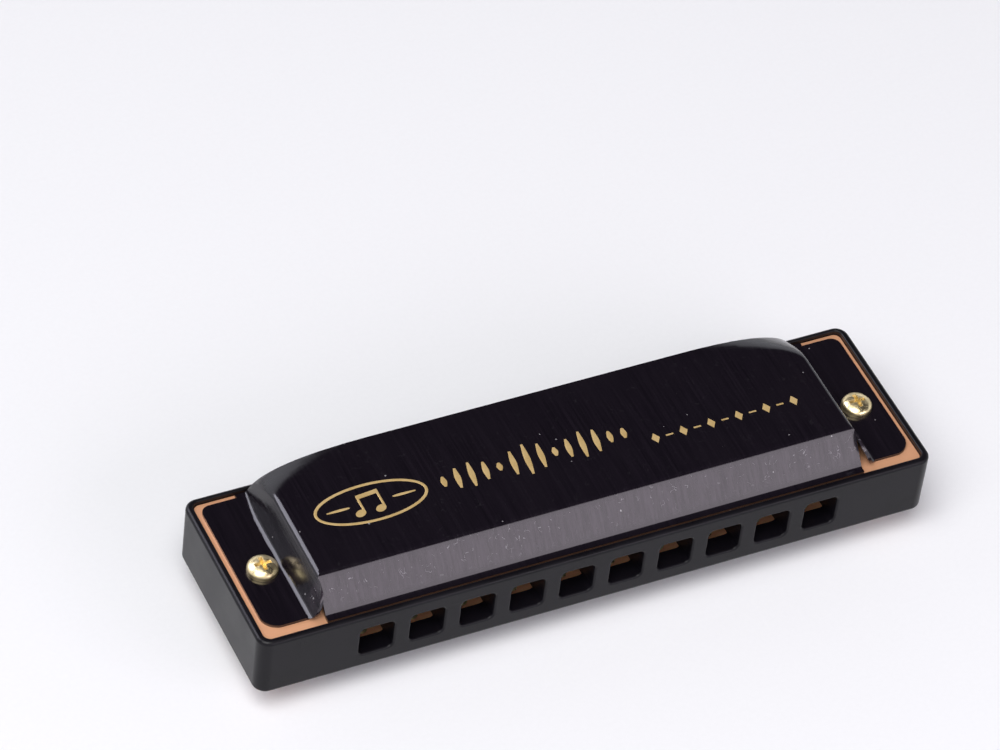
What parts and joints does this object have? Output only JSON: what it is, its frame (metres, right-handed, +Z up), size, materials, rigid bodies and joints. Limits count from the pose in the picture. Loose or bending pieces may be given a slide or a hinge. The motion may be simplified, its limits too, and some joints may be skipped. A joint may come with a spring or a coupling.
{
  "type": "harmonica",
  "caption": "Diatonic harmonica: a black comb with recessed copper-coloured reed plates, riveted reeds that swing in slots, black covers and brass screws.",
  "frame": {"origin": "on the surface the lower cover rests on, below the middle of the body", "axes": "+X along the row of holes from the lowest note to the highest, +Y from the mouth side to the open back, +Z up through the blow-reed side"},
  "size_m": [0.102, 0.028, 0.0188],
  "materials": {
    "comb_plastic": "moulded black plastic, satin",
    "plate_metal": "copper-coloured rolled sheet, lightly brushed",
    "reed_brass": "milled reed brass",
    "rivet_brass": "turned brass",
    "cover_lacquer": "black lacquer over brushed sheet steel, gloss",
    "screw_brass": "brass plated, polished"
  },
  "bodies": {
    "body": {"comb": "comb_plastic", "upper_reed_plate": "plate_metal", "lower_reed_plate": "plate_metal", "blow_reed_pad_01": "reed_brass", "blow_reed_pad_02": "reed_brass", "blow_reed_pad_03": "reed_brass", "blow_reed_pad_04": "reed_brass", "blow_reed_pad_05": "reed_brass", "blow_reed_pad_06": "reed_brass", "blow_reed_pad_07": "reed_brass", "blow_reed_pad_08": "reed_brass", "blow_reed_pad_09": "reed_brass", "blow_reed_pad_10": "reed_brass", "blow_reed_rivets": "rivet_brass", "draw_reed_pad_01": "reed_brass", "draw_reed_pad_02": "reed_brass", "draw_reed_pad_03": "reed_brass", "draw_reed_pad_04": "reed_brass", "draw_reed_pad_05": "reed_brass", "draw_reed_pad_06": "reed_brass", "draw_reed_pad_07": "reed_brass", "draw_reed_pad_08": "reed_brass", "draw_reed_pad_09": "reed_brass", "draw_reed_pad_10": "reed_brass", "draw_reed_rivets": "rivet_brass", "upper_plate_pins": "rivet_brass", "lower_plate_pins": "rivet_brass", "upper_cover": "cover_lacquer", "lower_cover": "cover_lacquer", "upper_cover_screws": "screw_brass", "lower_cover_screws": "screw_brass"},
    "blow_reed_tongue_01": {"blow_reed_tongue_01": "reed_brass"},
    "blow_reed_tongue_02": {"blow_reed_tongue_02": "reed_brass"},
    "blow_reed_tongue_03": {"blow_reed_tongue_03": "reed_brass"},
    "blow_reed_tongue_04": {"blow_reed_tongue_04": "reed_brass"},
    "blow_reed_tongue_05": {"blow_reed_tongue_05": "reed_brass"},
    "blow_reed_tongue_06": {"blow_reed_tongue_06": "reed_brass"},
    "blow_reed_tongue_07": {"blow_reed_tongue_07": "reed_brass"},
    "blow_reed_tongue_08": {"blow_reed_tongue_08": "reed_brass"},
    "blow_reed_tongue_09": {"blow_reed_tongue_09": "reed_brass"},
    "blow_reed_tongue_10": {"blow_reed_tongue_10": "reed_brass"},
    "draw_reed_tongue_01": {"draw_reed_tongue_01": "reed_brass"},
    "draw_reed_tongue_02": {"draw_reed_tongue_02": "reed_brass"},
    "draw_reed_tongue_03": {"draw_reed_tongue_03": "reed_brass"},
    "draw_reed_tongue_04": {"draw_reed_tongue_04": "reed_brass"},
    "draw_reed_tongue_05": {"draw_reed_tongue_05": "reed_brass"},
    "draw_reed_tongue_06": {"draw_reed_tongue_06": "reed_brass"},
    "draw_reed_tongue_07": {"draw_reed_tongue_07": "reed_brass"},
    "draw_reed_tongue_08": {"draw_reed_tongue_08": "reed_brass"},
    "draw_reed_tongue_09": {"draw_reed_tongue_09": "reed_brass"},
    "draw_reed_tongue_10": {"draw_reed_tongue_10": "reed_brass"}
  },
  "joints": [
    {"name": "blow_reed_01_swing", "type": "hinge", "parent": "body", "child": "blow_reed_tongue_01", "pos_m": [-0.03375, -0.0076, 0.01257], "axis": [1, 0, 0], "range_deg": [-3, 3], "stiffness_Nm_per_rad": 0.0123},
    {"name": "blow_reed_02_swing", "type": "hinge", "parent": "body", "child": "blow_reed_tongue_02", "pos_m": [-0.02625, -0.0076, 0.01257], "axis": [1, 0, 0], "range_deg": [-3, 3], "stiffness_Nm_per_rad": 0.0157},
    {"name": "blow_reed_03_swing", "type": "hinge", "parent": "body", "child": "blow_reed_tongue_03", "pos_m": [-0.01875, -0.0076, 0.01257], "axis": [1, 0, 0], "range_deg": [-3, 3], "stiffness_Nm_per_rad": 0.0189},
    {"name": "blow_reed_04_swing", "type": "hinge", "parent": "body", "child": "blow_reed_tongue_04", "pos_m": [-0.01125, -0.0076, 0.01257], "axis": [1, 0, 0], "range_deg": [-3, 3], "stiffness_Nm_per_rad": 0.0256},
    {"name": "blow_reed_05_swing", "type": "hinge", "parent": "body", "child": "blow_reed_tongue_05", "pos_m": [-0.00375, -0.0076, 0.01257], "axis": [1, 0, 0], "range_deg": [-3, 3], "stiffness_Nm_per_rad": 0.0326},
    {"name": "blow_reed_06_swing", "type": "hinge", "parent": "body", "child": "blow_reed_tongue_06", "pos_m": [0.00375, -0.0076, 0.01257], "axis": [1, 0, 0], "range_deg": [-3, 3], "stiffness_Nm_per_rad": 0.0392},
    {"name": "blow_reed_07_swing", "type": "hinge", "parent": "body", "child": "blow_reed_tongue_07", "pos_m": [0.01125, -0.0076, 0.01257], "axis": [1, 0, 0], "range_deg": [-3, 3], "stiffness_Nm_per_rad": 0.0531},
    {"name": "blow_reed_08_swing", "type": "hinge", "parent": "body", "child": "blow_reed_tongue_08", "pos_m": [0.01875, -0.0076, 0.01257], "axis": [1, 0, 0], "range_deg": [-3, 3], "stiffness_Nm_per_rad": 0.0677},
    {"name": "blow_reed_09_swing", "type": "hinge", "parent": "body", "child": "blow_reed_tongue_09", "pos_m": [0.02625, -0.0076, 0.01257], "axis": [1, 0, 0], "range_deg": [-3, 3], "stiffness_Nm_per_rad": 0.0812},
    {"name": "blow_reed_10_swing", "type": "hinge", "parent": "body", "child": "blow_reed_tongue_10", "pos_m": [0.03375, -0.0076, 0.01257], "axis": [1, 0, 0], "range_deg": [-3, 3], "stiffness_Nm_per_rad": 0.11},
    {"name": "draw_reed_01_swing", "type": "hinge", "parent": "body", "child": "draw_reed_tongue_01", "pos_m": [-0.03375, -0.0076, 0.00497], "axis": [1, 0, 0], "range_deg": [-3, 3], "stiffness_Nm_per_rad": 0.0139},
    {"name": "draw_reed_02_swing", "type": "hinge", "parent": "body", "child": "draw_reed_tongue_02", "pos_m": [-0.02625, -0.0076, 0.00497], "axis": [1, 0, 0], "range_deg": [-3, 3], "stiffness_Nm_per_rad": 0.0189},
    {"name": "draw_reed_03_swing", "type": "hinge", "parent": "body", "child": "draw_reed_tongue_03", "pos_m": [-0.01875, -0.0076, 0.00497], "axis": [1, 0, 0], "range_deg": [-3, 3], "stiffness_Nm_per_rad": 0.0241},
    {"name": "draw_reed_04_swing", "type": "hinge", "parent": "body", "child": "draw_reed_tongue_04", "pos_m": [-0.01125, -0.0076, 0.00497], "axis": [1, 0, 0], "range_deg": [-3, 3], "stiffness_Nm_per_rad": 0.0289},
    {"name": "draw_reed_05_swing", "type": "hinge", "parent": "body", "child": "draw_reed_tongue_05", "pos_m": [-0.00375, -0.0076, 0.00497], "axis": [1, 0, 0], "range_deg": [-3, 3], "stiffness_Nm_per_rad": 0.0347},
    {"name": "draw_reed_06_swing", "type": "hinge", "parent": "body", "child": "draw_reed_tongue_06", "pos_m": [0.00375, -0.0076, 0.00497], "axis": [1, 0, 0], "range_deg": [-3, 3], "stiffness_Nm_per_rad": 0.0442},
    {"name": "draw_reed_07_swing", "type": "hinge", "parent": "body", "child": "draw_reed_tongue_07", "pos_m": [0.01125, -0.0076, 0.00497], "axis": [1, 0, 0], "range_deg": [-3, 3], "stiffness_Nm_per_rad": 0.0499},
    {"name": "draw_reed_08_swing", "type": "hinge", "parent": "body", "child": "draw_reed_tongue_08", "pos_m": [0.01875, -0.0076, 0.00497], "axis": [1, 0, 0], "range_deg": [-3, 3], "stiffness_Nm_per_rad": 0.0599},
    {"name": "draw_reed_09_swing", "type": "hinge", "parent": "body", "child": "draw_reed_tongue_09", "pos_m": [0.02625, -0.0076, 0.00497], "axis": [1, 0, 0], "range_deg": [-3, 3], "stiffness_Nm_per_rad": 0.0719},
    {"name": "draw_reed_10_swing", "type": "hinge", "parent": "body", "child": "draw_reed_tongue_10", "pos_m": [0.03375, -0.0076, 0.00497], "axis": [1, 0, 0], "range_deg": [-3, 3], "stiffness_Nm_per_rad": 0.0917}
  ]
}
